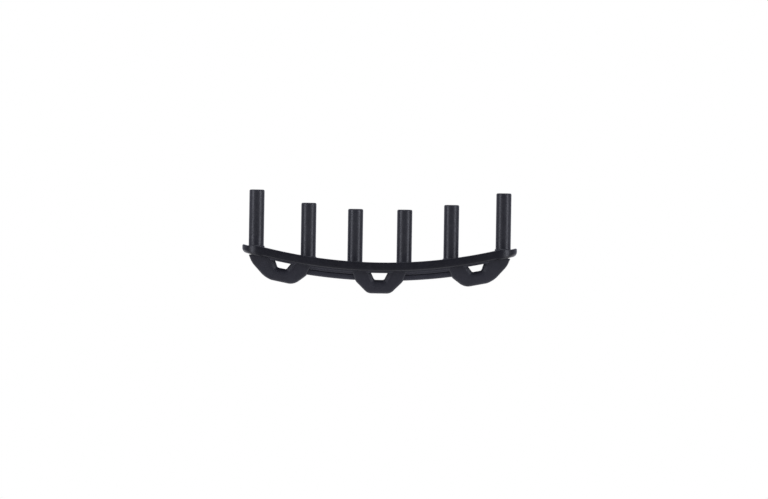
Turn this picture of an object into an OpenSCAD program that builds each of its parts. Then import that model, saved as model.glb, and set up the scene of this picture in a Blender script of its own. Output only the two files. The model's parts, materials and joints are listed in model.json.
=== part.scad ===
// Vibration-damping grommet strip for the throat bridge of a tennis racket.
// Origin: middle of the seat, where the strip's top touches the underside of the bridge.
// +X runs along the strip, +Y away from the front face, +Z up into the string bed. Millimetres.

/* [Seat] */
// Radius of the bridge's underside, along the strip
seat_r = 120; // [115:1:130]
// Radius of the bridge's underside, front to back
bridge_r = 11; // [10:0.5:13]

/* [Carrier strip] */
// Length of the strip, end to end
strip_l = 65.4; // [65:0.1:67]
// Width of the strip, front to back
strip_w = 9.5; // [9:0.1:10.5]
// Thickness of the strip along its middle
strip_t = 0.7; // [0.65:0.05:0.8]
// Thickness of the seat pad
pad_t = 0.3; // [0.25:0.05:0.4]

/* [String tubes] */
// Distance of the inner tubes from the middle
inner_x = 5.85; // [5.8:0.05:6]
// Distance of the middle tubes from the middle
middle_x = 17; // [16.9:0.05:17.1]
// Distance of the outer tubes from the middle
outer_x = 29.4; // [29.2:0.05:29.5]
// Outer radius of a tube
tube_r = 1.8; // [1.65:0.05:1.85]
// Radius of a tube's string bore
bore_r = 1; // [0.9:0.05:1.1]
// Height that the tips reach at the middle of the strip
tip_z = 13.5; // [12:0.1:15]
// Radius of the arc that the tips lie on
tip_r = 100; // [90:1:120]

/* [Damper] */
// Width of an arch, front to back
arch_w = 6.2; // [6:0.1:6.4]
// Width of the string groove round an arch
groove_w = 2.2; // [2.1:0.05:2.4]
// Thickness of the spine plate that the arches hang from
plate_t = 0.5; // [0.45:0.05:0.55]
// Depth of the rails below the seat
rail_depth = 3.35; // [3.25:0.05:3.6]
// Width of the rails, front to back
rail_w = 5; // [4.6:0.1:5.2]

/* [Hidden] */
$fn = 64;
arc_fn = 720;

// Radii about the seat's axis, from the seat's middle line downwards
strip_top_r = seat_r + pad_t;
strip_low_r = strip_top_r + strip_t;
plate_low_r = strip_low_r + plate_t;
bead_low_r = plate_low_r + 0.5;
notch_low_r = bead_low_r + 0.2;
toe_low_r = strip_low_r + 0.4;
rail_low_r = seat_r + rail_depth;

// Carrier strip
strip_edge = 0.35;
toe_l = 1.2;
toe_h = 0.4;
toe_edge = 0.5;
pad_w = strip_w - 1.5;
pad_l = strip_l - 5.4;
tube_gap = 0.03;
pad_gap = 0.15;
pad_room = 0.2;

// Lengths of cuts, which only have to be long enough: through everything, past a face, above the seat
reach = 200;
spare = 0.5;
above = 2;
arch_reach = 10;
thin = 0.02;

// Spine: plate, collar pockets, rails and the studs that hold it to the carrier strip
plate_w = 6.2;
plate_l = 60;
collar_r = 2.3;
collar_w = 4;
collar_gap = 0.05;
collar_bite = 0.05;
channel_r = 1.3;
rail_edge = 0.2;
notch_w = rail_w - 0.6;
bead_top_w = plate_w - 0.3;
bead_low_w = rail_w + 0.1;
stud_r = 0.7;
stud_head_r = 1.1;
stud_head_t = 0.3;
stud_gap = 0.04;
arch_x = (middle_x + outer_x) / 2;
rail_x = (inner_x + middle_x) / 2;
stud_places = [-arch_x, -rail_x, 0, rail_x, arch_x];

// Tubes, left to right, each with a thicker root that ends root_h above the seat
tube_places = [-outer_x, -middle_x, -inner_x, inner_x, middle_x, outer_x];
root_r = tube_r + 0.2;
root_h = 1;
root_edge = 0.2;
tip_edge = 0.35;
tip_flare = 0.15;
mouth_r = 1.45;
mouth_h = 0.45;

// Outlines in an arch's own frame: [x, z, corner radius], z from the seat along its normal
roof_z = -1;
side_outline = [
    [-7.3, roof_z, 0], [-6.6, -3.45, 2], [-4.15, -6.15, 3], [1.4, -6.15, 3],
    [3.2, -5.6, 6], [6.65, -3.02, 5], [7.76, -1.35, 0.1], [6.1, roof_z, 0]
];
centre_outline = [
    [-6.6, roof_z, 0], [-5.6, -3.5, 2.5], [-2.7, -6.35, 2.2],
    [2.7, -6.35, 2.2], [5.6, -3.5, 2.5], [6.6, roof_z, 0]
];
web_outline = [
    [-4.75, roof_z, 0], [-4.1, -3.1, 1.5], [-2.1, -4.95, 1.2],
    [2.1, -4.95, 1.2], [4.1, -3.1, 1.5], [4.75, roof_z, 0]
];
centre_window = [[-2.2, roof_z, 0], [-1.15, -3.15, 0.6], [1.15, -3.15, 0.6], [2.2, roof_z, 0]];
side_window = [[-2.7, roof_z, 0], [-1.7, -2.97, 0.6], [0.55, -2.97, 0.6], [1.7, roof_z, 0]];
side_web_shift = -0.28;
funnel_spread = 1.2;
funnel_depth = 0.6;

// Saddles: a channel that lines the crown of the string groove
saddle_base = 0.4;
saddle_lip = 0.9;
lip_t = 0.25;
saddle_gap = 0.05;
saddle_top_z = -3.5;

function unit(v) = v / norm(v);
function xz(p) = [p[0], p[1]];
function turned_left(v) = [-v[1], v[0]];

// Points of the arc that rounds corner b between a and c to radius r
function corner_arc(a, b, c, r) =
    let (
        u = unit(a - b), v = unit(c - b),
        half = acos(u * v) / 2,
        middle = b + unit(u + v) * r / sin(half),
        from = b + u * r / tan(half) - middle,
        to = b + v * r / tan(half) - middle,
        steps = 6
    )
    [for (i = [0:steps]) middle + r * unit(from * (steps - i) + to * i)];

// Outline through corners [x, z, radius], with its round corners as points
function rounded(corners) =
    let (n = len(corners))
    [for (i = [0:n - 1])
        each corners[i][2] == 0
            ? [xz(corners[i])]
            : corner_arc(xz(corners[(i + n - 1) % n]), xz(corners[i]), xz(corners[(i + 1) % n]), corners[i][2])];

// The same corners moved outwards by d. The first and last corner stay on the roof line.
function grown(corners, d) =
    let (n = len(corners))
    [for (i = [0:n - 1])
        let (
            p = xz(corners[i]),
            before = i == 0 ? [0, -1] : unit(p - xz(corners[i - 1])),
            after = i == n - 1 ? [0, 1] : unit(xz(corners[i + 1]) - p),
            m = -turned_left(before), k = -turned_left(after),
            q = p + d * (m + k) / (1 + m * k)
        )
        [q[0], i == 0 || i == n - 1 ? roof_z : q[1], corners[i][2] == 0 ? 0 : corners[i][2] + d]];

function mirrored(corners) =
    let (n = len(corners))
    [for (i = [0:n - 1]) [-corners[n - 1 - i][0], corners[n - 1 - i][1], corners[n - 1 - i][2]]];

function shifted(corners, dx) = [for (c = corners) [c[0] + dx, c[1], c[2]]];

function seat_height(x) = seat_r - sqrt(seat_r * seat_r - x * x);
function tip_height(x) = tip_z + tip_r - sqrt(tip_r * tip_r - x * x);
function arch_outline(side) =
    side == 0 ? centre_outline : side > 0 ? side_outline : mirrored(side_outline);
function arch_web(side) = shifted(web_outline, side_web_shift * side);
function arch_window(side) =
    side == 0 ? centre_window : side > 0 ? side_window : mirrored(side_window);

// Moves from the middle of the seat to the place on it that has this x
module on_seat(x) {
    translate([0, 0, seat_r]) rotate([0, -asin(x / seat_r), 0]) translate([0, 0, -seat_r]) children();
}

// Sweeps a profile [radius, depth] along the seat's arc, from x_from to x_to
module along_seat(x_from, x_to) {
    a = asin(x_from / seat_r);
    b = asin(x_to / seat_r);
    translate([0, 0, seat_r]) rotate([90, 0, 0]) rotate([0, 0, a - 90])
        rotate_extrude(angle = b - a, $fn = arc_fn) children();
}

// Band with a rectangular section between two radii
module band(r_from, r_to, w, x_from, x_to) {
    along_seat(x_from, x_to) translate([r_from, -w / 2]) square([r_to - r_from, w]);
}

// Everything within this radius of the seat's axis
module within(r) {
    translate([0, 0, seat_r]) rotate([90, 0, 0]) cylinder(r = r, h = 4 * strip_w, center = true, $fn = arc_fn);
}

// Upright prism with round ends
module stadium(l, w) {
    for (side = [-1, 1])
        translate([side * (l - w) / 2, 0, -reach / 2]) cylinder(d = w, h = reach);
    translate([-(l - w) / 2, -w / 2, -reach / 2]) cube([l - w, w, reach]);
}

// Round hole or post parallel to Z
module upright_hole(x, r) {
    translate([x, 0, -reach / 2]) cylinder(r = r, h = reach);
}

// Front-to-back prism on an outline in the XZ plane
module slab(corners, w) {
    rotate([90, 0, 0]) linear_extrude(height = w, center = true) polygon(rounded(corners));
}

// Section of the carrier strip: hollow on top to fit the bridge, round at its lower edges
module strip_section() {
    half = strip_w / 2;
    difference() {
        polygon([
            [seat_r - above, -half], [strip_low_r - strip_edge, -half], [strip_low_r, -half + strip_edge],
            [strip_low_r, half - strip_edge], [strip_low_r - strip_edge, half], [seat_r - above, half]
        ]);
        translate([seat_r - bridge_r, 0]) circle(r = bridge_r);
    }
}

// Seat pad with no holes, and with rise mm of room above it
module pad_blank(rise) {
    along_seat(-pad_l / 2, pad_l / 2)
        intersection() {
            translate([seat_r - above, -pad_w / 2]) square([2 * above, pad_w]);
            difference() {
                translate([seat_r - bridge_r, 0]) circle(r = bridge_r + pad_t);
                translate([seat_r - bridge_r, 0]) circle(r = bridge_r - rise);
            }
        }
}

// Thicker rim round each end of the strip, in the shape of a crescent with a bevelled lower edge
module toes() {
    end_x = (strip_l - strip_w) / 2;
    drop = toe_low_r - seat_r;
    difference() {
        intersection() {
            band(seat_r - toe_h, toe_low_r, strip_w, -strip_l / 2 - spare, strip_l / 2 + spare);
            stadium(strip_l, strip_w);
            for (side = [-1, 1])
                on_seat(side * end_x)
                    translate([-side * drop * end_x / seat_r, 0, -drop])
                        cylinder(r1 = strip_w / 2 - toe_edge, r2 = strip_w / 2 - toe_edge + above, h = above);
        }
        stadium(strip_l - 2 * toe_l, strip_w);
    }
}

module carrier_strip() {
    color([0.13, 0.13, 0.15])
    difference() {
        union() {
            intersection() {
                along_seat(-strip_l / 2 - spare, strip_l / 2 + spare) strip_section();
                stadium(strip_l, strip_w);
            }
            toes();
        }
        pad_blank(pad_room);
        for (x = tube_places)
            upright_hole(x, root_r + tube_gap);
        for (x = stud_places)
            on_seat(x) stud(stud_gap);
    }
}

module seat_pad() {
    color([0.08, 0.08, 0.08])
    difference() {
        pad_blank(0);
        for (x = tube_places)
            upright_hole(x, root_r + pad_gap);
    }
}

// Stud on the spine with a flat head in the carrier strip's top, all grown by gap
module stud(gap) {
    head_top = -pad_t;
    foot = seat_r - strip_low_r - plate_t / 2;
    translate([0, 0, foot]) cylinder(r = stud_r + gap, h = head_top - foot);
    translate([0, 0, head_top - stud_head_t - gap])
        cylinder(r = stud_head_r + gap, h = stud_head_t + gap + (gap > 0 ? spare : 0));
}

// Collar of a tube, with flat front and back, in the plane of the spine plate
module collar(x, gap) {
    intersection() {
        band(strip_low_r - gap, plate_low_r + gap, collar_w + 2 * gap, x - collar_w, x + collar_w);
        upright_hole(x, collar_r + gap);
    }
}

module string_tube(x) {
    top = tip_height(x);
    root_top = seat_height(x) + root_h;
    foot = seat_r - sqrt(pow(plate_low_r, 2) - x * x);
    color([0.16, 0.16, 0.18])
    difference() {
        union() {
            intersection() {
                translate([x, 0, 0]) rotate_extrude()
                    polygon([
                        [0, foot - above], [root_r, foot - above], [root_r, root_top - root_edge],
                        [tube_r, root_top], [tube_r, top - tip_edge],
                        [tube_r - 0.3 * tip_edge, top - 0.3 * tip_edge], [tube_r - tip_edge, top], [0, top]
                    ]);
                within(strip_low_r + collar_bite);
            }
            intersection() {
                collar(x, 0);
                stadium(plate_l, plate_w);
            }
        }
        upright_hole(x, bore_r);
        translate([x, 0, foot - mouth_h / 2]) cylinder(r1 = mouth_r, r2 = bore_r, h = mouth_h);
        translate([x, 0, top - tip_flare]) cylinder(r1 = bore_r, r2 = bore_r + 2 * tip_flare, h = 2 * tip_flare);
    }
}

// Rails between the arches: a tapering bead, a narrow notch and the rail itself
module rails() {
    difference() {
        along_seat(-arch_x, arch_x)
            for (side = [-1, 1])
                polygon([
                    [strip_low_r + plate_t / 2, 0], [strip_low_r + plate_t / 2, side * bead_top_w / 2],
                    [plate_low_r, side * bead_top_w / 2], [bead_low_r, side * bead_low_w / 2],
                    [bead_low_r, side * notch_w / 2], [notch_low_r, side * notch_w / 2],
                    [notch_low_r, side * rail_w / 2], [rail_low_r - rail_edge, side * rail_w / 2],
                    [rail_low_r, side * (rail_w / 2 - rail_edge)], [rail_low_r, 0]
                ]);
        for (side = [-1:1])
            difference() {
                on_seat(side * arch_x) slab(arch_outline(side), 2 * rail_w);
                within(plate_low_r);
            }
        for (x = tube_places)
            upright_hole(x, channel_r);
    }
}

module damper_spine() {
    color([0.19, 0.19, 0.22]) {
        difference() {
            union() {
                intersection() {
                    band(strip_low_r, plate_low_r, plate_w + 2 * spare, -plate_l / 2 - spare, plate_l / 2 + spare);
                    stadium(plate_l, plate_w);
                }
                rails();
            }
            for (x = tube_places)
                collar(x, collar_gap);
        }
        for (x = stud_places)
            on_seat(x) stud(0);
    }
}

// Box from the roof line downwards, to cut a groove of width w round an arch
module groove(w) {
    translate([-arch_reach, -w / 2, -arch_reach]) cube([2 * arch_reach, w, arch_reach + roof_z]);
}

// Arch: two cheeks on a web, with the string groove between them and a window above the crown
module arch(side) {
    face = arch_w / 2;
    hole = arch_window(side);
    color([0.17, 0.17, 0.2])
    on_seat(side * arch_x)
    difference() {
        slab(arch_outline(side), arch_w);
        within(plate_low_r);
        difference() {
            groove(groove_w);
            slab(arch_web(side), groove_w + spare);
        }
        slab(hole, arch_w + spare);
        for (way = [-1, 1])
            hull() {
                translate([0, way * (face - funnel_depth), 0]) slab(hole, thin);
                translate([0, way * (face + thin), 0]) slab(grown(hole, funnel_spread), thin);
            }
    }
}

// Saddle: low-friction channel on the crown of the web, which the string bears on
module saddle(side) {
    web = arch_web(side);
    channel_w = groove_w - 2 * saddle_gap;
    color([0.1, 0.1, 0.12])
    on_seat(side * arch_x)
    intersection() {
        difference() {
            slab(grown(web, saddle_lip), channel_w);
            slab(web, groove_w);
            difference() {
                groove(channel_w - 2 * lip_t);
                slab(grown(web, saddle_base), groove_w);
            }
        }
        translate([0, 0, saddle_top_z - roof_z]) groove(groove_w);
    }
}

carrier_strip();
seat_pad();
damper_spine();
for (i = [1:6])
    string_tube(tube_places[i - 1]);
arch(-1);  // arch_left
arch(0);  // arch_centre
arch(1);  // arch_right
saddle(-1);  // saddle_left
saddle(0);  // saddle_centre
saddle(1);  // saddle_right
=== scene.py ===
import bpy
import bmesh
import json
import math
import numpy as np
from mathutils import Matrix, Vector

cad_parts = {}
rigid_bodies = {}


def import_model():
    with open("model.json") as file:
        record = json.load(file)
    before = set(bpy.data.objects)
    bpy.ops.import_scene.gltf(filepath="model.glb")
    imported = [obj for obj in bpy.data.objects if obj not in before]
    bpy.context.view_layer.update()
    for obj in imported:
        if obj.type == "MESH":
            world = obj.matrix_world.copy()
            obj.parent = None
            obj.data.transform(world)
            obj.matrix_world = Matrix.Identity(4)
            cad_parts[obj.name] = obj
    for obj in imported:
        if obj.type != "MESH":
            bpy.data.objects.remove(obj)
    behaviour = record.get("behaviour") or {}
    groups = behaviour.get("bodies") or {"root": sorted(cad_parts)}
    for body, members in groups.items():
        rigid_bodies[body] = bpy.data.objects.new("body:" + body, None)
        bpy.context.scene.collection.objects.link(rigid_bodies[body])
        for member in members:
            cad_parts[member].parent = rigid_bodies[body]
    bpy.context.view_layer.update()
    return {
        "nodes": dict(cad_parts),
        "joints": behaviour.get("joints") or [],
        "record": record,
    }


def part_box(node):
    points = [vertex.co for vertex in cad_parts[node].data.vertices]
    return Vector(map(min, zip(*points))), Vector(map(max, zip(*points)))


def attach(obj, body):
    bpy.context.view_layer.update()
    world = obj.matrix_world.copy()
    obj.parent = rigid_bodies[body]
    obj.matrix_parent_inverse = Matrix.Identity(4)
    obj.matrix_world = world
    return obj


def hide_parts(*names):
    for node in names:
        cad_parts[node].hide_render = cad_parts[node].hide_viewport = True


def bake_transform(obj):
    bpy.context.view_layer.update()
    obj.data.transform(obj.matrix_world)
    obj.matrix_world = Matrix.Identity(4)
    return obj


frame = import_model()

# Throat grommet strip with flexing string arches. Lengths in this file are millimetres, and MM turns
# them into the frame's metres. The seat is an arc of radius SEAT_R, with its axis above the strip, so a
# place on it is an angle about that axis and a depth below the seat.
MM = 0.001
SEAT_R = 120.0
BRIDGE_R = 11.0
MAIN_BODY = next(j["parent"] for j in frame["joints"])
ARCHES = ("left", "centre", "right")
JOINTS = {j["name"]: j for j in frame["joints"]}
MOUNTS = {m["name"]: m for m in frame["record"]["mounts"]}
TUBES = sorted(n for n in frame["nodes"] if n.startswith("tube_"))
TUBE_X = {n: MOUNTS["bridge_pin_" + n[5:]]["pos_m"][0] / MM for n in TUBES}
TUBE_R = MOUNTS["bridge_pin_1"]["dims"]["r_mm"]
BORE_R = MOUNTS["string_bore_1"]["dims"]["r_mm"]
# A tube's root, the thicker part that fills its hole in the strip and ends above the seat
ROOT_R, ROOT_H = TUBE_R + 0.2, 1.0
# Depths of the undersides of the carrier strip and of the spine's plate
STRIP_LOW, PLATE_LOW = 1.0, 1.5
# Rings along the strip, points across it, and the stand-in for a radius of nought on a cutter's axis
ALONG, ACROSS, AXIS_R = 121, 33, 0.0001


def size_of(node):
    """Size of a CAD node's box."""
    low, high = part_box(node)
    return (high - low) / MM


STRIP_L, STRIP_W = size_of("carrier_strip").x, size_of("carrier_strip").y
ARCH_W = size_of("arch_centre").y


# ---------------------------------------------------------------- mesh helpers

def new_piece(name, verts, faces):
    """A mesh object from points in millimetres, its doubled points joined and its faces turned outwards."""
    mesh = bpy.data.meshes.new(name)
    mesh.from_pydata([tuple(v) for v in np.asarray(verts, float) * MM], [], faces)
    bm = bmesh.new()
    bm.from_mesh(mesh)
    bmesh.ops.remove_doubles(bm, verts=bm.verts, dist=1e-7)
    bmesh.ops.dissolve_degenerate(bm, dist=1e-8, edges=bm.edges)
    bmesh.ops.recalc_face_normals(bm, faces=bm.faces)
    bm.to_mesh(mesh)
    bm.free()
    piece = bpy.data.objects.new(name, mesh)
    bpy.context.scene.collection.objects.link(piece)
    return piece


def loft(name, rings, closed_ends=True):
    """Skin over rings of points. Every ring is closed and has as many points as the next."""
    count = len(rings[0])
    verts = [p for ring in rings for p in ring]
    faces = []
    for i in range(len(rings) - 1):
        for j in range(count):
            k = (j + 1) % count
            faces.append((i * count + j, i * count + k, (i + 1) * count + k, (i + 1) * count + j))
    if closed_ends:
        faces.append(tuple(range(count)))
        faces.append(tuple(range((len(rings) - 1) * count, len(rings) * count)))
    return new_piece(name, verts, faces)


def keep_modified(piece):
    """Replaces the mesh by what its modifiers make of it."""
    evaluated = piece.evaluated_get(bpy.context.evaluated_depsgraph_get())
    mesh = bpy.data.meshes.new_from_object(evaluated)
    piece.modifiers.clear()
    piece.data = mesh


def cut(piece, cutters):
    """Takes the cutters away from the piece, and deletes them."""
    for cutter in cutters:
        modifier = piece.modifiers.new("cut", "BOOLEAN")
        modifier.operation = "DIFFERENCE"
        modifier.solver = "EXACT"
        modifier.object = cutter
    bpy.context.view_layer.update()
    keep_modified(piece)
    for cutter in cutters:
        bpy.data.objects.remove(cutter)


def join(name, parts):
    """One object from several."""
    bm = bmesh.new()
    for part in parts:
        bm.from_mesh(part.data)
    mesh = bpy.data.meshes.new(name)
    bm.to_mesh(mesh)
    bm.free()
    for part in parts:
        bpy.data.objects.remove(part)
    piece = bpy.data.objects.new(name, mesh)
    bpy.context.scene.collection.objects.link(piece)
    return piece


def smooth(piece, angle=40):
    """Smooth shading, with edges sharper than the angle kept crisp and big faces ruling the normals."""
    for polygon in piece.data.polygons:
        polygon.use_smooth = True
    piece.data.set_sharp_from_angle(angle=math.radians(angle))
    modifier = piece.modifiers.new("even normals", "WEIGHTED_NORMAL")
    modifier.keep_sharp = True
    keep_modified(piece)
    return piece


def turned(profile, x, segments=72, flat=100.0):
    """Rings of a profile [(radius, z)] turned about an upright line through x, flat at y = -flat and flat."""
    angles = [2 * math.pi * k / segments for k in range(segments)]
    rings = []
    for r, z in profile:
        rings.append([(x + r * math.cos(a), min(max(r * math.sin(a), -flat), flat), z) for a in angles])
    return rings


def arc_points(centre, radius, start, end, steps):
    """Points on an arc, with angles in degrees."""
    angles = np.radians(np.linspace(start, end, steps + 1))
    return [(centre[0] + radius * math.cos(a), centre[1] + radius * math.sin(a)) for a in angles]


def both_sides(half):
    """Closed section from its half with y of nought or more, which starts and ends at y = 0."""
    return half + [(d, -y) for d, y in half[::-1][1:-1]]


def unit(v):
    """Vector of length 1 in the direction of v."""
    return np.asarray(v, float) / np.linalg.norm(v)


def rounded(corners, steps=8):
    """Polyline through corners [(x, z, radius)], with each corner rounded by an arc."""
    points = []
    for i, (x, z, r) in enumerate(corners):
        b = np.array((x, z))
        if r == 0:
            points.append(b)
            continue
        u = unit(np.array(corners[i - 1][:2]) - b)
        v = unit(np.array(corners[(i + 1) % len(corners)][:2]) - b)
        half = math.acos(float(u @ v)) / 2
        middle = b + unit(u + v) * r / math.sin(half)
        start = b + u * r / math.tan(half) - middle
        end = b + v * r / math.tan(half) - middle
        points += [middle + r * unit(start * (steps - k) + end * k) for k in range(steps + 1)]
    return np.array(points)


# ---------------------------------------------------------------- places on the seat

def seat_z(x, depth=0.0):
    """Height of the arc at this depth below the seat, at x."""
    return SEAT_R - math.sqrt((SEAT_R + depth) ** 2 - x * x)


def arc_place(angle, depth, y):
    """Point at this angle about the seat's axis and this depth below the seat."""
    r = SEAT_R + depth
    return (r * math.sin(angle), y, SEAT_R - r * math.cos(angle))


def from_arch(name, x, y, z):
    """Point of an arch's own frame, whose z axis is the seat's normal at the arch."""
    axis = JOINTS["flex_" + name]["axis"]
    lean = math.asin(-axis[0])
    middle = arc_place(lean, 0, 0)
    return (middle[0] + x * math.cos(lean) - z * math.sin(lean), y,
            middle[2] + x * math.sin(lean) + z * math.cos(lean))


def stadium_ring(length, width, inset, height):
    """Closed ring round a strip with round ends, moved in by inset. height(x, y) gives its z."""
    r = width / 2 - inset
    straight = length / 2 - width / 2
    along = np.linspace(-straight, straight, ALONG)
    bend = np.radians(np.linspace(-90, 90, 49))[1:-1]
    plan = [(x, -r) for x in along]
    plan += [(straight + r * math.cos(a), r * math.sin(a)) for a in bend]
    plan += [(x, r) for x in along[::-1]]
    plan += [(-straight - r * math.cos(a), -r * math.sin(a)) for a in bend]
    return [(x, y, height(x, y)) for x, y in plan]


# ---------------------------------------------------------------- outlines of the arches

# In an arch's own frame: (x, z, corner radius), with z from the seat along its normal. The outlines
# start at the strip's underside, ROOF_Z, and the arches' meshes a hair lower, at FOOT_Z.
ROOF_Z, FOOT_Z = -1.0, -1.08
SIDE_OUTLINE = [(-7.3, ROOF_Z, 0), (-6.6, -3.45, 2), (-4.15, -6.15, 3), (1.4, -6.15, 3),
                (3.2, -5.6, 6), (6.65, -3.02, 5), (7.76, -1.35, 0.1), (6.1, ROOF_Z, 0)]
CENTRE_OUTLINE = [(-6.6, ROOF_Z, 0), (-5.6, -3.5, 2.5), (-2.7, -6.35, 2.2),
                  (2.7, -6.35, 2.2), (5.6, -3.5, 2.5), (6.6, ROOF_Z, 0)]
WEB_OUTLINE = [(-4.75, ROOF_Z, 0), (-4.1, -3.1, 1.5), (-2.1, -4.95, 1.2),
               (2.1, -4.95, 1.2), (4.1, -3.1, 1.5), (4.75, ROOF_Z, 0)]
CENTRE_WINDOW = [(-2.2, ROOF_Z, 0), (-1.15, -3.15, 0.6), (1.15, -3.15, 0.6), (2.2, ROOF_Z, 0)]
SIDE_WINDOW = [(-2.7, ROOF_Z, 0), (-1.7, -2.97, 0.6), (0.55, -2.97, 0.6), (1.7, ROOF_Z, 0)]
WEB_SHIFT = -0.28
SIDE = {"left": -1, "centre": 0, "right": 1}


def for_side(name, centre, right):
    """Rounded outline of the named arch. The left one mirrors the right one."""
    side = SIDE[name]
    if side == 0:
        return rounded(centre)
    return rounded(right if side > 0 else [(-x, z, r) for x, z, r in right[::-1]])


def arch_outline(name):
    """Outside of the named arch, from one foot round the crown to the other."""
    return for_side(name, CENTRE_OUTLINE, SIDE_OUTLINE)


def reach_along(start, direction, outline):
    """How far from start a ray goes before it leaves the outline."""
    parallel, slack = 1e-12, 1e-9
    best = None
    for p, q in zip(outline[:-1], outline[1:]):
        edge = q - p
        across = direction[0] * edge[1] - direction[1] * edge[0]
        if abs(across) < parallel:
            continue
        gap = p - start
        far = (gap[0] * edge[1] - gap[1] * edge[0]) / across
        share = (gap[0] * direction[1] - gap[1] * direction[0]) / across
        if far > 0 and -slack <= share <= 1 + slack:
            best = far if best is None else max(best, far)
    return best


def spokes(name, count):
    """Rays from the top of the window to the arch's outline: (start, direction, window, web, outline).

    The last three are how far along the ray the window's edge, the groove's floor and the outline are.
    """
    fineness = 900
    outline = arch_outline(name)
    web = for_side(name, WEB_OUTLINE, [(x + WEB_SHIFT, z, r) for x, z, r in WEB_OUTLINE])
    window = for_side(name, CENTRE_WINDOW, SIDE_WINDOW)
    start = np.array(((window[0][0] + window[-1][0]) / 2, FOOT_Z))
    steps = np.r_[0, np.cumsum(np.linalg.norm(np.diff(outline, axis=0), axis=1))]
    marks = np.linspace(0, steps[-1], fineness)
    dense = np.stack([np.interp(marks, steps, outline[:, k]) for k in (0, 1)], 1)
    dense = dense[dense[:, 1] <= FOOT_Z]
    picked = dense[np.linspace(0, len(dense) - 1, count).round().astype(int)]
    found = []
    for p in picked:
        d = unit(p - start)
        found.append((start, d, reach_along(start, d, window), reach_along(start, d, web),
                      reach_along(start, d, outline)))
    return found


# ---------------------------------------------------------------- materials

# Repeats of each pattern to a millimetre, and how strongly the fine ones stand out
CLOUDS, PATCHES, SCUFFS = (0.25, 0.25, 0.25), (0.9, 0.9, 0.9), (0.5, 6, 6)
GRAIN_STRENGTH, SCUFF_STRENGTH = 0.35, 0.15


def texture_scale(tree, scale):
    """Object coordinates in millimetres times scale, so that patterns have a real size."""
    place = tree.nodes.new("ShaderNodeTexCoord")
    mapping = tree.nodes.new("ShaderNodeMapping")
    mapping.inputs["Scale"].default_value = tuple(v / MM for v in scale)
    tree.links.new(place.outputs["Object"], mapping.inputs["Vector"])
    return mapping.outputs["Vector"]


def noise(tree, scale, detail, roughness=0.5):
    """Noise with this many repeats to a millimetre along each axis."""
    node = tree.nodes.new("ShaderNodeTexNoise")
    node.inputs["Scale"].default_value = 1.0
    node.inputs["Detail"].default_value = detail
    node.inputs["Roughness"].default_value = roughness
    tree.links.new(texture_scale(tree, scale), node.inputs["Vector"])
    return node.outputs["Fac"]


def ranged(tree, value, low, high, start=0.3, end=0.7):
    """Maps the value's stretch from start to end onto low to high."""
    node = tree.nodes.new("ShaderNodeMapRange")
    node.inputs["From Min"].default_value = start
    node.inputs["From Max"].default_value = end
    node.inputs["To Min"].default_value = low
    node.inputs["To Max"].default_value = high
    tree.links.new(value, node.inputs["Value"])
    return node.outputs["Result"]


def moulded(name, dark, light, rough, grain, grain_depth, specular=0.5):
    """Moulded polymer: cloudy colour, spark-eroded grain, patchy gloss and a few fine scuffs."""
    material = bpy.data.materials.new(name)
    material.use_nodes = True
    tree = material.node_tree
    shader = tree.nodes["Principled BSDF"]
    shader.inputs["Specular IOR Level"].default_value = specular
    clouds = noise(tree, CLOUDS, 4)
    ramp = tree.nodes.new("ShaderNodeValToRGB")
    ramp.color_ramp.elements[0].position = 0.35
    ramp.color_ramp.elements[0].color = (*dark, 1)
    ramp.color_ramp.elements[1].position = 0.7
    ramp.color_ramp.elements[1].color = (*light, 1)
    tree.links.new(clouds, ramp.inputs["Fac"])
    tree.links.new(ramp.outputs["Color"], shader.inputs["Base Color"])
    patches = noise(tree, PATCHES, 5, 0.6)
    tree.links.new(ranged(tree, patches, rough - 0.05, rough + 0.07), shader.inputs["Roughness"])
    fine = noise(tree, (grain, grain, grain), 3)
    scuffs = noise(tree, SCUFFS, 2)
    bump = tree.nodes.new("ShaderNodeBump")
    bump.inputs["Strength"].default_value = GRAIN_STRENGTH
    bump.inputs["Distance"].default_value = grain_depth * MM
    tree.links.new(fine, bump.inputs["Height"])
    scratch = tree.nodes.new("ShaderNodeBump")
    scratch.inputs["Strength"].default_value = SCUFF_STRENGTH
    scratch.inputs["Distance"].default_value = grain_depth * MM
    tree.links.new(ranged(tree, scuffs, 0, 1, 0.62, 0.7), scratch.inputs["Height"])
    tree.links.new(bump.outputs["Normal"], scratch.inputs["Normal"])
    tree.links.new(scratch.outputs["Normal"], shader.inputs["Normal"])
    return material


# Each is: name, dark colour, light colour, roughness, grain to a millimetre, its depth, specular level
NYLON = moulded("satin_nylon", (0.0035, 0.0035, 0.006), (0.006, 0.006, 0.0095), 0.32, 7, 0.006, 0.4)
TUBE_NYLON = moulded("tube_nylon", (0.0095, 0.0095, 0.013), (0.0145, 0.0145, 0.019), 0.38, 8, 0.002)
ELASTOMER = moulded("charcoal_elastomer", (0.0093, 0.0093, 0.0143), (0.014, 0.014, 0.0203), 0.46, 5, 0.010)
# The spine's elastomer is a lighter copy of the arches' one, though both are one moulding: the extra
# lightness is painted light, standing in for the light that the rails' and bead's faces catch
SPINE_ELASTOMER_PAINTED_LIGHTER = moulded("spine_elastomer_painted_lighter", (0.014, 0.014, 0.0215), (0.021, 0.021, 0.0305), 0.44, 5, 0.010)
PAD_RUBBER = moulded("pad_rubber", (0.018, 0.018, 0.020), (0.028, 0.028, 0.030), 0.7, 4, 0.03, 0.35)
SLICK = moulded("low_friction_liner", (0.006, 0.006, 0.008), (0.010, 0.010, 0.012), 0.22, 9, 0.005)


def finish_piece(piece, material, nodes, body=MAIN_BODY, ride=True):
    """Gives a piece its material in a slot, hides the CAD nodes it stands for, and parents it to its body
    when it rides.
    """
    piece.data.materials.clear()
    piece.data.materials.append(material)
    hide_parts(*nodes)
    if ride:
        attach(piece, body)
    return piece


# ---------------------------------------------------------------- carrier strip

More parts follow.
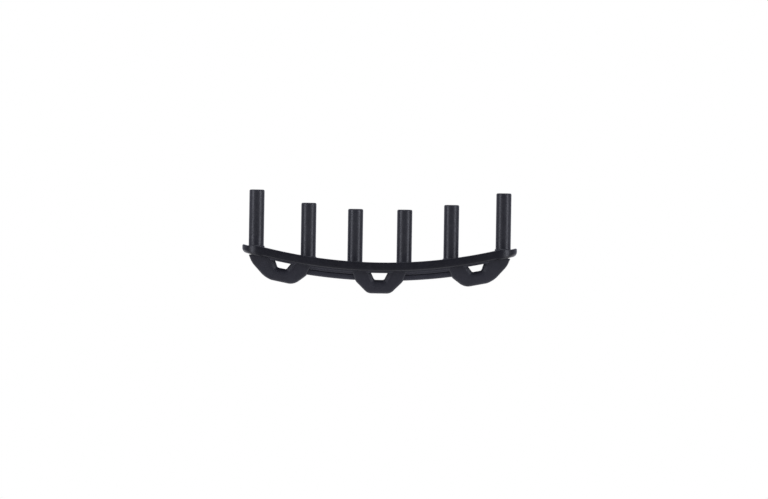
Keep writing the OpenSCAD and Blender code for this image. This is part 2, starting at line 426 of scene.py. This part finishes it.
# Radii of the strip's edges: along the middle, then at the tips
LOW_EDGE, TIP_LOW_EDGE = 0.25, 0.9
TOP_EDGE, TIP_TOP_EDGE = 0.22, 0.4
# The toe is the thicker rim at each end
TOE_L, TOE_H, TOE_DROP, TOE_BLEND = 1.2, 0.4, 0.4, 0.3
# Insets of the rings on the flat faces, closest where the toe rises
LOW_INSETS = (2.2, 1.8, 1.5, 1.35, 1.2, 1.1, 1.0)
TOP_INSETS = (0.5, 0.65, 0.8, 0.95, 1.1, 1.25, 1.4, 1.6, 1.9, 2.3, 2.8, 3.3, 3.8, 4.3)
HOLE_GAP, HOLE_CHAMFER = 0.03, 0.12
PAD_L, PAD_W, PAD_T = STRIP_L - 5.4, STRIP_W - 1.5, 0.3


def hollow(y, extra=0.0):
    """Height above the seat line of the bridge's round underside, y from its middle."""
    r = BRIDGE_R + extra
    return BRIDGE_R - math.sqrt(r * r - y * y)


def toe_share(x, y):
    """From 0 to 1 over the thicker rim at each end of the strip."""
    past = abs(x) - (STRIP_L / 2 - STRIP_W / 2 - TOE_L)
    share = min(max((math.hypot(past, y) - STRIP_W / 2) / TOE_BLEND, 0), 1) if past > 0 else 0
    return share * share * (3 - 2 * share)


def strip_top(x, y):
    """Height of the strip's top, which follows the bridge and is level across the toes."""
    base = hollow(y)
    return seat_z(x) + base + max(TOE_H - base, 0) * toe_share(x, y)


def strip_low(x, y):
    """Height of the strip's underside."""
    return seat_z(x, STRIP_LOW + TOE_DROP * toe_share(x, y))


def rounding(x, inset, middle_r, tip_r):
    """How far the rounded edge has fallen back at this inset. Its radius grows over the round ends."""
    share = max(abs(x) - (STRIP_L - STRIP_W) / 2, 0) / (STRIP_W / 2)
    r = middle_r + (tip_r - middle_r) * share
    return r - math.sqrt(r * r - (r - inset) ** 2) if inset < r else 0


def lower_edge(x, y, inset):
    """Height of the rounded lower edge at this inset."""
    return strip_low(x, y) + rounding(x, inset, LOW_EDGE, TIP_LOW_EDGE)


def upper_edge(x, y, inset):
    """Height of the rounded upper edge at this inset."""
    return strip_top(x, y) - rounding(x, inset, TOP_EDGE, TIP_TOP_EDGE)


def strip_body():
    """Strip with round ends, a hollow top and rounded edges, before its holes are cut."""
    half = STRIP_W / 2
    rings = []
    for inset in (half, half - 1, half - 2, *LOW_INSETS):
        rings.append(stadium_ring(STRIP_L, STRIP_W, inset, strip_low))
    for turn in np.radians(np.linspace(10, 90, 14)):
        inset = TIP_LOW_EDGE * (1 - math.sin(turn))
        rings.append(stadium_ring(STRIP_L, STRIP_W, inset, lambda x, y, i=inset: lower_edge(x, y, i)))
    for share in (0.33, 0.67):
        def side(x, y, s=share):
            low = lower_edge(x, y, 0)
            return low + (upper_edge(x, y, 0) - low) * s
        rings.append(stadium_ring(STRIP_L, STRIP_W, 0, side))
    for turn in np.radians(np.linspace(0, 80, 9)):
        inset = TIP_TOP_EDGE * (1 - math.cos(turn))
        rings.append(stadium_ring(STRIP_L, STRIP_W, inset, lambda x, y, i=inset: upper_edge(x, y, i)))
    for inset in (*TOP_INSETS, half):
        rings.append(stadium_ring(STRIP_L, STRIP_W, inset, strip_top))
    return loft("strip_body", rings, closed_ends=False)


def hole_cutter(x, r, low_z, chamfer=0.0):
    """Upright cutter of radius r from low_z up. Below that it widens at 45 degrees, to cut the chamfer."""
    past, high_z = 2, seat_z(x) + 6
    profile = [(AXIS_R, low_z - past), (r + chamfer + past, low_z - past), (r, low_z + chamfer)]
    profile += [(r, high_z), (AXIS_R, high_z)]
    return loft("hole_cutter", turned(profile, x))


def pocket_cutter():
    """Cutter for the pocket that the pad lies in."""
    past = 0.3
    rings = []
    end = math.asin(PAD_L / 2 / SEAT_R)
    for angle in np.linspace(-end, end, ALONG):
        low = [(y, -hollow(y, PAD_T)) for y in np.linspace(-PAD_W / 2, PAD_W / 2, ACROSS)]
        high = [(y, -hollow(y) - past) for y in np.linspace(PAD_W / 2, -PAD_W / 2, ACROSS)]
        rings.append([arc_place(angle, d, y) for y, d in low + high])
    return loft("pocket_cutter", rings)


strip = strip_body()
holes = []
for x in TUBE_X.values():
    holes.append(hole_cutter(x, ROOT_R + HOLE_GAP, seat_z(x, STRIP_LOW), HOLE_CHAMFER))
cut(strip, [pocket_cutter()] + holes)
strip.name = "strip_moulding"
smooth(strip, 35)
finish_piece(strip, NYLON, ["carrier_strip"])


# ---------------------------------------------------------------- seat pad

PAD_GAP, PAD_HOLE_GAP, PAD_EDGE = 0.02, 0.15, 0.1


def pad_body():
    """Thin sheet bent both ways, with its upper edges taken off."""
    end = math.asin(PAD_L / 2 / SEAT_R)
    brink = end - PAD_EDGE / SEAT_R
    middle = [(angle, 0) for angle in np.linspace(-end, end, ALONG)[1:-1]]
    rings = []
    for angle, pull in [(-end, PAD_EDGE), (-brink, 0), *middle, (brink, 0), (end, PAD_EDGE)]:
        w = PAD_W / 2 - PAD_GAP - pull
        ys = np.linspace(-w + PAD_EDGE, w - PAD_EDGE, ACROSS - 2)
        low = [(y, -hollow(y, PAD_T)) for y in [-w, *ys, w]]
        high = [(y, -hollow(y) + (pull if abs(y) < w else PAD_EDGE)) for y in [w, *ys[::-1], -w]]
        rings.append([arc_place(angle, d, y) for y, d in low + high])
    return loft("pad_body", rings)


pad = pad_body()
cut(pad, [hole_cutter(x, ROOT_R + PAD_HOLE_GAP, seat_z(x) - 2) for x in TUBE_X.values()])
pad.name = "seat_pad_sheet"
smooth(pad, 35)
finish_piece(pad, PAD_RUBBER, ["seat_pad"])


# ---------------------------------------------------------------- string tubes

# COLLAR_DROP is how far under the strip an outer collar's cut-back part starts
COLLAR_R, COLLAR_FLAT, COLLAR_EDGE = 2.26, 1.97, 0.1
COLLAR_GAP, COLLAR_DROP = 0.02, 0.03
# The flare of the mouth under the collar, and of the tip
MOUTH_DEPTH, MOUTH_FLARE, TIP_FLARE = 0.9, 0.42, 0.16
TIP_EDGE, ROOT_EDGE = 0.34, 0.2
# The root's shoulder: (share of the step from the tube's radius to the root's, height above its top)
SHOULDER = ((1, -ROOT_EDGE), (0.8, -0.13), (0.15, -0.02), (0, 0.05))
# Where the spine's plate ends, and an outer tube's collar with it
PLATE_END = 30.0


def tube_profile(foot, low, root_top, top):
    """Lathe profile [(radius, z)] from the mouth, up the outside and over the tip into the bore."""
    plain, lip = 3.0, 0.02
    profile = [(BORE_R, foot + plain), (BORE_R, foot + MOUTH_DEPTH)]
    for a in np.radians(np.linspace(10, 90, 7)):
        r = BORE_R + MOUTH_FLARE * (1 - math.cos(a)) ** 1.2
        profile.append((r, foot + MOUTH_DEPTH - (MOUTH_DEPTH - lip) * math.sin(a)))
    profile += [(COLLAR_R - COLLAR_EDGE, foot), (COLLAR_R - 0.3 * COLLAR_EDGE, foot + 0.3 * COLLAR_EDGE)]
    profile += [(COLLAR_R, foot + COLLAR_EDGE), (COLLAR_R, low - COLLAR_GAP), (ROOT_R, low - COLLAR_GAP)]
    profile += [(ROOT_R, low + 0.3)]
    profile += [(TUBE_R + (ROOT_R - TUBE_R) * share, root_top + rise) for share, rise in SHOULDER]
    profile += [(TUBE_R, root_top + (top - TIP_EDGE - root_top) * share) for share in (0.2, 0.5, 0.9)]
    profile += arc_points((TUBE_R - TIP_EDGE, top - TIP_EDGE), TIP_EDGE, 0, 90, 7)
    profile += arc_points((BORE_R + TIP_FLARE, top - TIP_FLARE), TIP_FLARE, 90, 180, 4)
    return profile + [(BORE_R, top - plain), (BORE_R, (foot + top) / 2)]


def end_cutter(x):
    """Cutter for the part of an outer tube's collar that is past the plate's end."""
    away = math.copysign(1, x)
    far, side = 34, 4
    plan = [(PLATE_END, -side), (far, -side), (far, side), (PLATE_END, side)]
    low_z = seat_z(abs(x) - 3, STRIP_LOW) - 4
    rings = [[(away * px, py, low_z) for px, py in plan]]
    rings.append([(away * px, py, seat_z(px, STRIP_LOW) - COLLAR_DROP) for px, py in plan])
    return loft("end_cutter", rings)


def tube(node):
    """Lathed tube with a rounded tip, a flared mouth and a collar that leans with the strip."""
    x = TUBE_X[node]
    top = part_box(node)[1].z / MM
    low, foot, root_top = seat_z(x, STRIP_LOW), seat_z(x, PLATE_LOW), seat_z(x) + ROOT_H
    profile = tube_profile(foot, low, root_top, top)
    slope = x / math.sqrt(SEAT_R ** 2 - x * x)
    rings = []
    for ring in turned(profile, x, flat=COLLAR_FLAT):
        lean = slope * min(max(1 - (ring[0][2] - low) / (root_top - ROOT_EDGE - low), 0), 1)
        rings.append([(px, py, pz + (px - x) * lean) for px, py, pz in ring])
    rings.append(rings[0])
    piece = loft(node + "_body", rings, closed_ends=False)
    if abs(x) + COLLAR_R > PLATE_END:
        cut(piece, [end_cutter(x)])
    return piece


for node in TUBES:
    piece = tube(node)
    piece.name = "string_" + node
    smooth(piece, 40)
    finish_piece(piece, TUBE_NYLON, [node])


# ---------------------------------------------------------------- damper spine

# The plate is a hair narrower than the arches, so that no two faces lie in one plane
PLATE_L, PLATE_W, PLATE_EDGE = 2 * PLATE_END, ARCH_W - 0.06, 0.12
# RAIL_BITE is how far a rail's ends go into the arches
RAIL_W, RAIL_DEPTH, RAIL_EDGE, RAIL_BITE = 5.0, 3.35, 0.28, 0.12
# Depths of the rail's top inside the plate and of the undersides of its bead and notch
RAIL_TOP, BEAD_LOW, NOTCH_LOW = 1.44, 1.92, 2.12
BEAD_OUT, NOTCH_IN, BEAD_EDGE = 0.28, 0.3, 0.1
CHANNEL_R, RAIL_RINGS = 1.3, 49


def plate_body():
    """Thin plate with round ends under the strip, with its lower edge rounded."""
    half = PLATE_W / 2
    rings = []
    for inset in (half, half - 1, half - 2, 0.6):
        rings.append(stadium_ring(PLATE_L, PLATE_W, inset, lambda x, y: seat_z(x, PLATE_LOW)))
    for turn in np.radians(np.linspace(0, 90, 5)):
        inset, rise = PLATE_EDGE * (1 - math.sin(turn)), PLATE_EDGE * (1 - math.cos(turn))
        rings.append(stadium_ring(PLATE_L, PLATE_W, inset, lambda x, y, h=rise: seat_z(x, PLATE_LOW) + h))
    for inset in (0, half - 2, half - 1, half):
        rings.append(stadium_ring(PLATE_L, PLATE_W, inset, lambda x, y: seat_z(x, STRIP_LOW)))
    return loft("plate_body", rings, closed_ends=False)


def rail_section():
    """Half of the rail's section as (depth, y): bead, notch and rail with rounded edges."""
    half = RAIL_W / 2
    bead, notch, soft = half + BEAD_OUT, half - NOTCH_IN, 0.02
    points = [(RAIL_TOP, 0), (RAIL_TOP, bead + soft)]
    points += [(PLATE_LOW + 0.06, bead + soft), (BEAD_LOW - 0.14, bead)]
    points += arc_points((BEAD_LOW - BEAD_EDGE, bead - BEAD_EDGE), BEAD_EDGE, 90, 0, 4)
    points += [(BEAD_LOW, notch + soft), (BEAD_LOW + 2 * soft, notch)]
    points += [(NOTCH_LOW - 2 * soft, notch), (NOTCH_LOW, notch + soft)]
    points += arc_points((NOTCH_LOW + BEAD_EDGE, half - BEAD_EDGE), BEAD_EDGE, 180, 90, 4)
    points += arc_points((RAIL_DEPTH - RAIL_EDGE, half - RAIL_EDGE), RAIL_EDGE, 90, 0, 7)
    return points + [(RAIL_DEPTH, y) for y in (1.6, 1.2, 0.6, 0)]


def flank(name, towards):
    """Angle about the seat's axis of one flank of an arch, as a function of the depth."""
    places = np.array([from_arch(name, x, 0, z) for x, z in arch_outline(name)])
    angles = np.arctan2(places[:, 0], SEAT_R - places[:, 2])
    depths = np.hypot(places[:, 0], SEAT_R - places[:, 2]) - SEAT_R
    middle = math.asin(-JOINTS["flex_" + name]["axis"][0])
    mask = (angles > middle) if towards > 0 else (angles < middle)
    order = np.argsort(depths[mask])
    return lambda depth: float(np.interp(depth, depths[mask][order], angles[mask][order]))


def rail(left_arch, right_arch):
    """Rail between two arches. Its ends follow their flanks, a little way in."""
    start, end = flank(left_arch, 1), flank(right_arch, -1)
    into = RAIL_BITE / SEAT_R
    section = both_sides(rail_section())
    rings = []
    for share in np.linspace(0, 1, RAIL_RINGS):
        ring = []
        for depth, y in section:
            a, b = start(depth) - into, end(depth) + into
            ring.append(arc_place(a + (b - a) * share, depth, y))
        rings.append(ring)
    return loft("rail", rings)


def channel_cutter(x):
    """Upright cutter for the way of a string past the end of a rail."""
    low_z, high_z = seat_z(x) - 8, seat_z(x) + 1
    profile = [(AXIS_R, low_z), (CHANNEL_R, low_z), (CHANNEL_R, high_z), (AXIS_R, high_z)]
    return loft("channel_cutter", turned(profile, x, 48))


plate = plate_body()
cut(plate, [hole_cutter(x, COLLAR_R + COLLAR_GAP, seat_z(x) - 6) for x in TUBE_X.values()])
rails = []
for left_arch, right_arch in zip(ARCHES[:-1], ARCHES[1:]):
    bar = rail(left_arch, right_arch)
    left_x, right_x = from_arch(left_arch, 0, 0, 0)[0], from_arch(right_arch, 0, 0, 0)[0]
    cut(bar, [channel_cutter(x) for x in TUBE_X.values() if left_x < x < right_x])
    rails.append(bar)
spine = join("spine_moulding", [plate] + rails)
smooth(spine, 35)
# The spine gets the lighter copy of the arches' elastomer, which paints light onto its rails and bead
finish_piece(spine, SPINE_ELASTOMER_PAINTED_LIGHTER, ["damper_spine"])


# ---------------------------------------------------------------- arches and saddles

GROOVE_W, GROOVE_CORNER = 2.2, 0.06
# The window opens out like a funnel on both faces
FUNNEL_SPREAD, FUNNEL_DEPTH, THROAT_EDGE = 1.2, 0.6, 0.12
RIM_EDGE, LIP_EDGE = 0.42, 0.18
SADDLE_BASE, SADDLE_TALL, SADDLE_GAP, SADDLE_TOP_Z = 0.4, 0.9, 0.05, -3.5
LIP_T, BOWL_R = 0.25, 0.3
# Numbers of spokes round each arch, for the arch's own mesh and for its saddle's
ARCH_SPOKES, SADDLE_SPOKES = 141, 281


def arch_section(window, web, outline):
    """Closed section across an arch: (distance along the spoke, y)."""
    face, groove = ARCH_W / 2, GROOVE_W / 2
    throat, flat = face - FUNNEL_DEPTH - THROAT_EDGE, window + FUNNEL_SPREAD
    half = [(window, y) for y in (0, 0.9, 1.8, throat)]
    half += arc_points((window + THROAT_EDGE, throat), THROAT_EDGE, 165, 130, 3)
    for share in np.linspace(0.1, 1, 9):
        half.append((window + FUNNEL_SPREAD * share, face - FUNNEL_DEPTH * (1 - share) ** 1.4))
    half += [(flat + (outline - RIM_EDGE - flat) * share, face) for share in (0.3, 0.7)]
    half += arc_points((outline - RIM_EDGE, face - RIM_EDGE), RIM_EDGE, 90, 0, 8)
    half += [(outline, (face + groove) / 2)]
    half += arc_points((outline - LIP_EDGE, groove + LIP_EDGE), LIP_EDGE, 0, -90, 4)
    half += [((outline + web) / 2, groove), (web + GROOVE_CORNER, groove), (web, groove - GROOVE_CORNER)]
    return both_sides(half + [(web, groove / 2), (web, 0)])


def saddle_section():
    """Closed section of the channel that lines the groove: (distance from the web, y)."""
    wide = GROOVE_W / 2 - SADDLE_GAP
    inner, lip = wide - LIP_T, LIP_T / 2
    half = [(0, 0), (0, wide - GROOVE_CORNER), (GROOVE_CORNER, wide), (SADDLE_TALL - lip, wide)]
    half += arc_points((SADDLE_TALL - lip, wide - lip), lip, 75, -75, 6)
    half += [(SADDLE_TALL - lip, inner)]
    half += arc_points((SADDLE_BASE + BOWL_R, inner - BOWL_R), BOWL_R, 90, 180, 5)
    return both_sides(half + [(SADDLE_BASE, 0.25), (SADDLE_BASE, 0)])


def along_spoke(name, start, direction, section):
    """The section's points, with their distances taken from start."""
    ring = []
    for far, y in section:
        p = start + direction * far
        ring.append(from_arch(name, p[0], y, p[1]))
    return ring


def arch(name):
    """Loop of elastomer whose section follows the window, the string groove and the outline."""
    rings = []
    for start, d, window, web, outline in spokes(name, ARCH_SPOKES):
        rings.append(along_spoke(name, start, d, arch_section(window, web, outline)))
    return loft("arch", rings)


def saddle(name):
    """Low-friction channel on the crown of the web."""
    section = saddle_section()
    rings = []
    for start, d, window, web, outline in spokes(name, SADDLE_SPOKES):
        foot = start + d * web
        if foot[1] <= SADDLE_TOP_Z:
            rings.append(along_spoke(name, foot, d, section))
    return loft("saddle", rings)


for name in ARCHES:
    body = "saddle_" + name
    loop = arch(name)
    loop.name = "string_arch_" + name
    smooth(loop, 50)
    finish_piece(loop, ELASTOMER, ["arch_" + name], ride=False)
    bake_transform(loop)
    liner = saddle(name)
    liner.name = "string_saddle_" + name
    smooth(liner, 50)
    finish_piece(liner, SLICK, [body], body=body)


# ---------------------------------------------------------------- floor, light and camera

def floor():
    """Plain pale floor, well below the object. Its size and height are metres."""
    mesh = bpy.data.meshes.new("floor")
    reach, z = 3.0, -0.55
    corners = [(-reach, -reach, z), (reach, -reach, z), (reach, reach, z), (-reach, reach, z)]
    mesh.from_pydata(corners, [], [(0, 1, 2, 3)])
    piece = bpy.data.objects.new("floor", mesh)
    bpy.context.scene.collection.objects.link(piece)
    material = bpy.data.materials.new("pale_floor")
    material.use_nodes = True
    tree = material.node_tree
    shader = tree.nodes["Principled BSDF"]
    shader.inputs["Roughness"].default_value = 0.9
    shader.inputs["Specular IOR Level"].default_value = 0.1
    shader.inputs["Emission Color"].default_value = (0.98, 0.98, 1, 1)
    shader.inputs["Emission Strength"].default_value = 0.66
    ramp = tree.nodes.new("ShaderNodeValToRGB")
    ramp.color_ramp.elements[0].color = (0.84, 0.83, 0.80, 1)
    ramp.color_ramp.elements[1].color = (0.88, 0.87, 0.84, 1)
    tree.links.new(noise(tree, (0.01, 0.01, 0.01), 3), ramp.inputs["Fac"])
    tree.links.new(ramp.outputs["Color"], shader.inputs["Base Color"])
    mesh.materials.append(material)


def softbox(name, azimuth, elevation, distance, wide, tall, radiance):
    """Area light facing the object, in metres. Azimuth 0 is the front, and 90 is from the right."""
    a, e = math.radians(azimuth), math.radians(elevation)
    back = Vector((math.sin(a) * math.cos(e), -math.cos(a) * math.cos(e), math.sin(e)))
    light = bpy.data.lights.new(name, "AREA")
    light.shape = "RECTANGLE"
    light.size, light.size_y = wide, tall
    light.energy = radiance * math.pi * wide * tall
    light.color = (0.86, 0.88, 1.0)
    lamp = bpy.data.objects.new(name, light)
    lamp.location = back * distance
    lamp.rotation_mode = "QUATERNION"
    lamp.rotation_quaternion = back.to_track_quat("Z", "Y")
    bpy.context.scene.collection.objects.link(lamp)
    return lamp


def studio():
    """White surround, bright behind and dim towards the front, where the room is."""
    world = bpy.data.worlds.new("studio")
    bpy.context.scene.world = world
    world.use_nodes = True
    tree = world.node_tree
    surround = tree.nodes["Background"]
    place = tree.nodes.new("ShaderNodeTexCoord")
    split = tree.nodes.new("ShaderNodeSeparateXYZ")
    tree.links.new(place.outputs["Generated"], split.inputs["Vector"])
    dim, bright, front, back = 0.28, 0.65, -0.2, 0.8
    strength = ranged(tree, split.outputs["Y"], dim, bright, front, back)
    tree.links.new(strength, surround.inputs["Strength"])
    surround.inputs["Color"].default_value = (0.80, 0.82, 1, 1)
    seen = tree.nodes.new("ShaderNodeBackground")
    seen.inputs["Color"].default_value = (1, 1, 1, 1)
    seen.inputs["Strength"].default_value = 1.0
    rays = tree.nodes.new("ShaderNodeLightPath")
    mix = tree.nodes.new("ShaderNodeMixShader")
    tree.links.new(rays.outputs["Is Camera Ray"], mix.inputs["Fac"])
    tree.links.new(surround.outputs["Background"], mix.inputs[1])
    tree.links.new(seen.outputs["Background"], mix.inputs[2])
    tree.links.new(mix.outputs["Shader"], tree.nodes["World Output"].inputs["Surface"])


def camera():
    """Long lens, level with the strip and square to it, with the roll that the picture has."""
    lens, sensor, field_w, roll = 150.0, 36.0, 182.9, 0.9
    aim_x, aim_z = 1.04, 4.12
    data = bpy.data.cameras.new("camera")
    data.lens = lens
    data.sensor_width = sensor
    data.clip_start, data.clip_end = 0.01, 20
    cam = bpy.data.objects.new("camera", data)
    distance = field_w * lens / sensor
    turn = Matrix.Rotation(math.radians(90), 4, "X") @ Matrix.Rotation(math.radians(roll), 4, "Z")
    cam.matrix_world = Matrix.Translation((aim_x * MM, -distance * MM, aim_z * MM)) @ turn
    bpy.context.scene.collection.objects.link(cam)
    bpy.context.scene.camera = cam


floor()
studio()
softbox("left softbox", -60, 12, 0.8, 0.3, 0.6, 3.8)
softbox("right softbox", 60, 12, 0.8, 0.3, 0.6, 4.2)
softbox("top softbox", 0, 80, 1.0, 1.0, 1.0, 1.2)
camera()
bpy.context.scene.view_settings.view_transform = "Standard"
